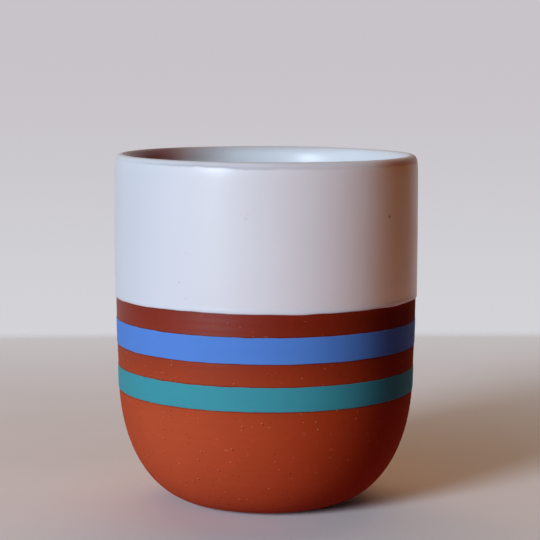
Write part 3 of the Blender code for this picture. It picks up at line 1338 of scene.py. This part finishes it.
@dataclass(frozen=True)
class Lamp:
    """A soft lamp that looks at the mug.

    Attributes:
        name: name of the lamp.
        azimuth: degrees round from the camera's side, positive to the right.
        elevation: degrees above the table.
        distance: metres from the mug's middle.
        size: width and height of its face, in metres.
        power: watts.
        colour: colour of its light.
        mirrored: whether the glaze mirrors it.
    """

    name: str
    azimuth: float
    elevation: float
    distance: float
    size: Span
    power: float
    colour: Colour
    mirrored: bool = True

    def build(self, target: Vector) -> None:
        """Put an oval area lamp on a sphere about a target, facing it.

        Args:
            target: middle of the sphere.
        """
        data = bpy.data.lights.new(self.name, "AREA")
        data.shape = "ELLIPSE"
        data.size, data.size_y = self.size
        data.energy = self.power
        data.color = self.colour
        turn, lift = math.radians(self.azimuth), math.radians(self.elevation)
        away = Vector((math.sin(turn) * math.cos(lift), -math.cos(turn) * math.cos(lift), math.sin(lift)))
        facing = away.to_track_quat("Z", "Y").to_matrix().to_4x4()
        lamp = put_in_scene(self.name, data)
        lamp.matrix_world = Matrix.Translation(target + self.distance * away) @ facing
        lamp.visible_glossy = self.mirrored


def staged(name: str, points: Array, wraps: bool, material: bpy.types.Material) -> bpy.types.Object:
    """A stage piece that is not part of the mug: an open mesh of quads between neighbours in a grid.

    Args:
        name: name of the piece.
        points: places, as (row, column, X Y and Z).
        wraps: whether the last column runs on into the first.
        material: its finish.

    Returns:
        The piece, with faces to the side from which rows run down and columns run to the right.
    """
    index = np.arange(points.shape[0] * points.shape[1]).reshape(points.shape[:2])
    quads = quads_between(index)
    if not wraps:
        quads = quads[:, :-1]
    mesh = bpy.data.meshes.new(name)
    mesh.from_pydata(points.reshape(-1, 3).tolist(), [], quads.reshape(-1, 4).tolist())
    mesh.materials.append(material)
    piece = put_in_scene(name, mesh)
    return piece


@dataclass(frozen=True)
class Card:
    """A dark matte card that stands bent round the mug, out of the camera's sight.

    Attributes:
        name: name of the card.
        radius: distance from the mug's axis.
        span: azimuths of its ends, in degrees round from the camera's side, positive to the right.
        height: height of the card.
        colour: colour of the card.
        roughness: roughness of the card.
        steps: steps along the bend.
    """

    name: str
    radius: float
    span: Span
    height: float
    colour: Colour = (0.03, 0.02, 0.02)
    roughness: float = 0.9
    steps: int = 24

    def build(self) -> None:
        """Put up the card: radius times the sine and minus the cosine of the azimuth, at its top and foot."""
        azimuth = np.radians(np.linspace(*self.span, self.steps + 1))
        ends = np.array([[self.height], [0.0]])
        places = np.broadcast_arrays(self.radius * np.sin(azimuth), -self.radius * np.cos(azimuth), ends)
        material, tree = new_material(self.name)
        tree.output(tree.principled(self.colour, self.roughness, specular=0.0))
        card = staged(self.name, np.stack(places, axis=-1), wraps=False, material=material)
        card.visible_camera = False


@dataclass
class Studio:
    """Plain pale table, soft side light and the camera at the photograph's angle.

    Attributes:
        target: what the lamps look at.
        lamps: a cool window at the left, and a low warm fill at the right.
        cards: a low card that keeps the fill off the bare clay, and a flag on either side for deep tones.
        table_reach: half width of the rounded square table.
        table_power: power that makes it a rounded square, 2 for a circle.
        table_skew: how far its back edge recedes per metre to the right.
        table_fade: width over which its edge fades out.
        table_haze: how far its top has paled into the background at the haze's reach.
        haze_reach: distance from the mug at which the haze is full.
        table_drop: how far its top lies below the foot.
        table_steps: rings and segments of its mesh.
        table_colour: colour of its top.
        table_clouds: faint clouds in that colour.
        table_roughness: roughness of its top.
        bounce_colour: the darker colour with which its top throws light back onto the mug.
        wall_colour: pale background, from its darker upper part to the lighter part next to the table.
        wall_turn: Z of the directions between which the lighter part goes over into the darker.
        back_light: warm light that the wall behind throws on the table.
        back_depth: Y of the directions from which that light starts to come and comes in full.
        back_sides: X of the directions, to either side, at which it starts to end and has ended.
        dim_light: light of the darker side of the room.
        camera_place: where the camera stands.
        camera_pitch: degrees that it looks down.
        camera_roll: degrees that it leans.
        camera_lens: focal length in millimetres.
        camera_sensor: width of its sensor in millimetres.
        camera_clip: nearest distance that it sees.
    """

    target: Vector
    lamps: tuple[Lamp, ...] = (
        Lamp(
            "window", azimuth=-38.3, elevation=15.5, distance=2.0,
            size=(0.60, 0.80), power=36.0, colour=(0.842, 1.0, 1.175),
        ),
        Lamp(
            "low_fill", azimuth=35.0, elevation=0.5, distance=2.0,
            size=(0.80, 0.03), power=6.8, colour=(1.0, 0.39, 0.10), mirrored=False,
        ),
    )
    cards: tuple[Card, ...] = (
        Card("low_card", radius=0.30, span=(6.0, 78.0), height=0.0577),
        Card("right_flag", radius=0.42, span=(75.0, 136.0), height=0.25),
        Card("left_flag", radius=0.42, span=(-116.0, -78.0), height=0.25),
    )
    table_reach: float = 0.2845
    table_power: float = 4.0
    table_skew: float = 0.056
    table_fade: float = 0.050
    table_haze: float = 0.65
    haze_reach: float = 0.36
    table_drop: float = 0.05 * MM
    table_steps: tuple[int, int] = (24, 96)
    table_colour: Colour = (0.960, 0.880, 0.870)
    table_clouds: Clouds = Clouds((14.0, 30.0, 14.0), tone=0.04)
    table_roughness: float = 0.6
    bounce_colour: Colour = (0.54, 0.25, 0.33)
    wall_colour: tuple[Colour, Colour] = ((0.575, 0.548, 0.585), (0.650, 0.650, 0.685))
    wall_turn: Span = (-0.16, 0.0)
    back_light: Colour = (1.00, 0.65, 0.375)
    back_depth: Span = (0.10, 0.35)
    back_sides: Span = (0.35, 0.65)
    dim_light: Colour = (0.003, 0.002, 0.001)
    camera_place: Triple = (0.001066, -0.51369, 0.12370)
    camera_pitch: float = 6.722
    camera_roll: float = 0.282
    camera_lens: float = 125.88
    camera_sensor: float = 36.0
    camera_clip: float = 0.01

    def world(self) -> None:
        """Pale background for what is seen directly or mirrored, and light from the wall behind otherwise."""
        world = bpy.data.worlds.new("pale_room")
        bpy.context.scene.world = world
        tree = ShaderTree(world)
        across, along, up = tree.parts(tree.node("ShaderNodeTexCoord").outputs["Generated"])
        behind = along.ease(*self.back_depth) * (1.0 - abs(across).ease(*self.back_sides))
        room = tree.mix(behind, self.dim_light, self.back_light)
        wall = tree.mix(1.0 - up.ease(*self.wall_turn), *self.wall_colour)
        inputs = {"Color": tree.mix(tree.seen(), room, wall), "Strength": 1.0}
        shader = tree.node("ShaderNodeBackground", inputs=inputs).outputs["Background"]
        tree.output(shader, "ShaderNodeOutputWorld")

    def table(self) -> None:
        """Lay the table's top, a rounded square.

        Over rings and angles, the reach of its edge is its half width over the root of the summed powers of
        cosine and sine. The mesh goes on past the edge, where the top fades out.
        """
        rings, segments = self.table_steps
        angle = even_turn(segments)
        power = self.table_power
        bulge = (np.abs(np.cos(angle)) ** power + np.abs(np.sin(angle)) ** power) ** (1 / power)
        radius = (self.table_reach + self.table_fade) / bulge * np.linspace(0, 1, rings)[:, None]
        points = about_axis(radius, np.full_like(radius, -self.table_drop))
        staged("table_top", points, wraps=True, material=self.table_material())

    def table_material(self) -> bpy.types.Material:
        """Matte top with faint clouds, paler with distance, clear past its edge and from below.

        Returns:
            The material.
        """
        material, tree = new_material("table_paint")
        top_colour = tree.shaded(self.table_colour, 1.0 + self.table_clouds.tone * self.table_clouds.on(tree))
        colour = tree.mix(tree.seen(), self.bounce_colour, top_colour)
        across, along, _ = tree.place()
        along = along - self.table_skew * across
        power = self.table_power
        reach = (abs(across) ** power + abs(along) ** power) ** (1 / power)
        past = reach.ease(self.table_reach - self.table_fade / 2, self.table_reach + self.table_fade / 2)
        past = past.at_least(self.table_haze * reach.ease(0.0, self.haze_reach))
        below = tree.node("ShaderNodeNewGeometry").outputs["Backfacing"]
        inputs = {
            "Fac": past.at_least(below),
            "Shader": tree.principled(colour, self.table_roughness, specular=0.0),
            "Shader_001": tree.node("ShaderNodeBsdfTransparent").outputs["BSDF"],
        }
        tree.output(tree.node("ShaderNodeMixShader", inputs=inputs).outputs["Shader"])
        return material

    def camera(self) -> None:
        """Set up the camera: it looks along +Y, pitched down, and leans about its own line of sight."""
        data = bpy.data.cameras.new("camera")
        data.lens = self.camera_lens
        data.sensor_width = self.camera_sensor
        data.clip_start = self.camera_clip
        pitch = Matrix.Rotation(math.radians(90 - self.camera_pitch), 4, "X")
        roll = Matrix.Rotation(math.radians(self.camera_roll), 4, "Z")
        camera = put_in_scene("camera", data)
        camera.matrix_world = Matrix.Translation(self.camera_place) @ pitch @ roll
        bpy.context.scene.camera = camera

    def build(self) -> None:
        """Set up the background, table, cards, lamps and camera."""
        bpy.context.scene.view_settings.view_transform = "Standard"
        self.world()
        self.table()
        for card in self.cards:
            card.build()
        for lamp in self.lamps:
            lamp.build(self.target)
        self.camera()


def main() -> None:
    """Build and dress the mug's pieces in the order in which a potter makes them, then the studio."""
    logging.basicConfig(level=logging.INFO, format="%(name)s: %(message)s")
    form = MugForm.from_frame()
    clay = ClayFinish(edges=(form.glaze_line, *form.blue, *form.teal), burnished_from=form.teal[0])
    glaze = GlazeFinish(form.lip_crest_radius, form.crest_height, form.widest_radius + form.coat_build)
    blue = SlipFinish("blue_paint", colour=(0.108, 0.258, 0.668), grain_colour=(0.30, 0.36, 0.55))
    teal = SlipFinish("teal_paint", colour=(0.057, 0.318, 0.354), grain_colour=(0.30, 0.40, 0.36))
    pieces = (
        ClayBody(form, clay),
        GlazeCoat(form, glaze),
        SlipBand(form, "blue_stripe", form.blue, blue, Slot.BLUE, Node.BLUE, seed=31),
        SlipBand(form, "teal_stripe", form.teal, teal, Slot.TEAL, Node.TEAL, seed=41),
    )
    for piece in pieces:
        made = piece.build()
        LOG.info("%s: %d faces", made.name, len(made.data.polygons))
    Studio(target=Vector((0, 0, form.crest_height / 2))).build()


if __name__ == "__main__":
    main()
